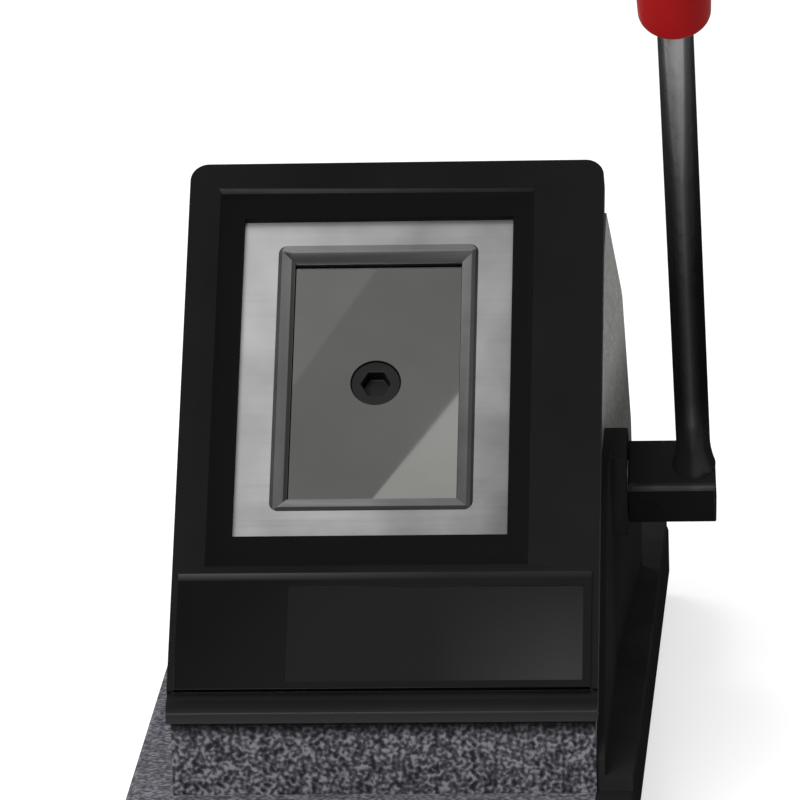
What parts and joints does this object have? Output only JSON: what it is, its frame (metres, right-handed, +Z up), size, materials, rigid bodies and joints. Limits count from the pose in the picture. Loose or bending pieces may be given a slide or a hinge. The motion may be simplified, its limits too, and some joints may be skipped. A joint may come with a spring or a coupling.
{
  "type": "id photo cutter",
  "caption": "Bench die cutter for ID photos: sloping black front with a steel die and punch, speckled housing on a base, side lever with a red grip that drives the punch by rack and pinion.",
  "frame": {"origin": "on the bench under the middle of the base", "axes": "+X to the lever's side, +Y to the back, +Z up"},
  "size_m": [0.1903, 0.3587, 0.3647],
  "materials": {
    "speckle_paint": "speckled hammer paint",
    "black_paint": "semi-gloss black",
    "black_gloss": "gloss black",
    "die_steel": "ground",
    "punch_steel": "polished",
    "black_oxide": "black oxide",
    "plain_steel": "machined",
    "zinc_steel": "zinc plated",
    "bronze": "turned bronze",
    "rod_chrome": "dark plated",
    "red_grip": "satin red",
    "rubber": "matt"
  },
  "bodies": {
    "frame": {"base_plate": "speckle_paint", "rubber_feet": "rubber", "foot_screws": "zinc_steel", "housing": "speckle_paint", "base_screws": "black_oxide", "front_frame": "black_paint", "lower_cover": "black_gloss", "die_plate": "die_steel", "bed_plate": "black_paint", "frame_screws": "black_oxide", "bed_screws": "black_oxide", "guide_posts": "plain_steel", "post_nuts": "zinc_steel", "return_springs": "zinc_steel", "left_bush": "bronze", "right_bush": "bronze", "lever_bracket": "black_paint", "bracket_screws": "black_oxide"},
    "lever": {"lever_shaft": "plain_steel", "drive_pinion": "plain_steel", "pinion_pin": "plain_steel", "shaft_collar": "plain_steel", "collar_screw": "black_oxide", "lever_hub": "black_paint", "hub_pin": "black_paint", "lever_rod": "rod_chrome", "lever_grip": "red_grip"},
    "ram": {"punch": "punch_steel", "punch_screw": "black_oxide", "ram_plate": "plain_steel", "guide_bushes": "bronze", "rack_bar": "plain_steel", "rack_screws": "black_oxide"}
  },
  "joints": [
    {"name": "lever_swing", "type": "hinge", "parent": "frame", "child": "lever", "pos_m": [0, -0.01195, 0.09327], "axis": [1, 0, 0], "range_deg": [0, 46], "stiffness_Nm_per_rad": 1.5, "springref_deg": -28.65},
    {"name": "punch_slide", "type": "slide", "parent": "frame", "child": "ram", "axis": [0, -0.7071, 0.7071], "range_m": [0, 0.0091], "deforming": ["return_springs"]}
  ],
  "couplings": [
    {"joint": "punch_slide", "follows": "lever_swing", "m_per_rad": 0.01125}
  ]
}
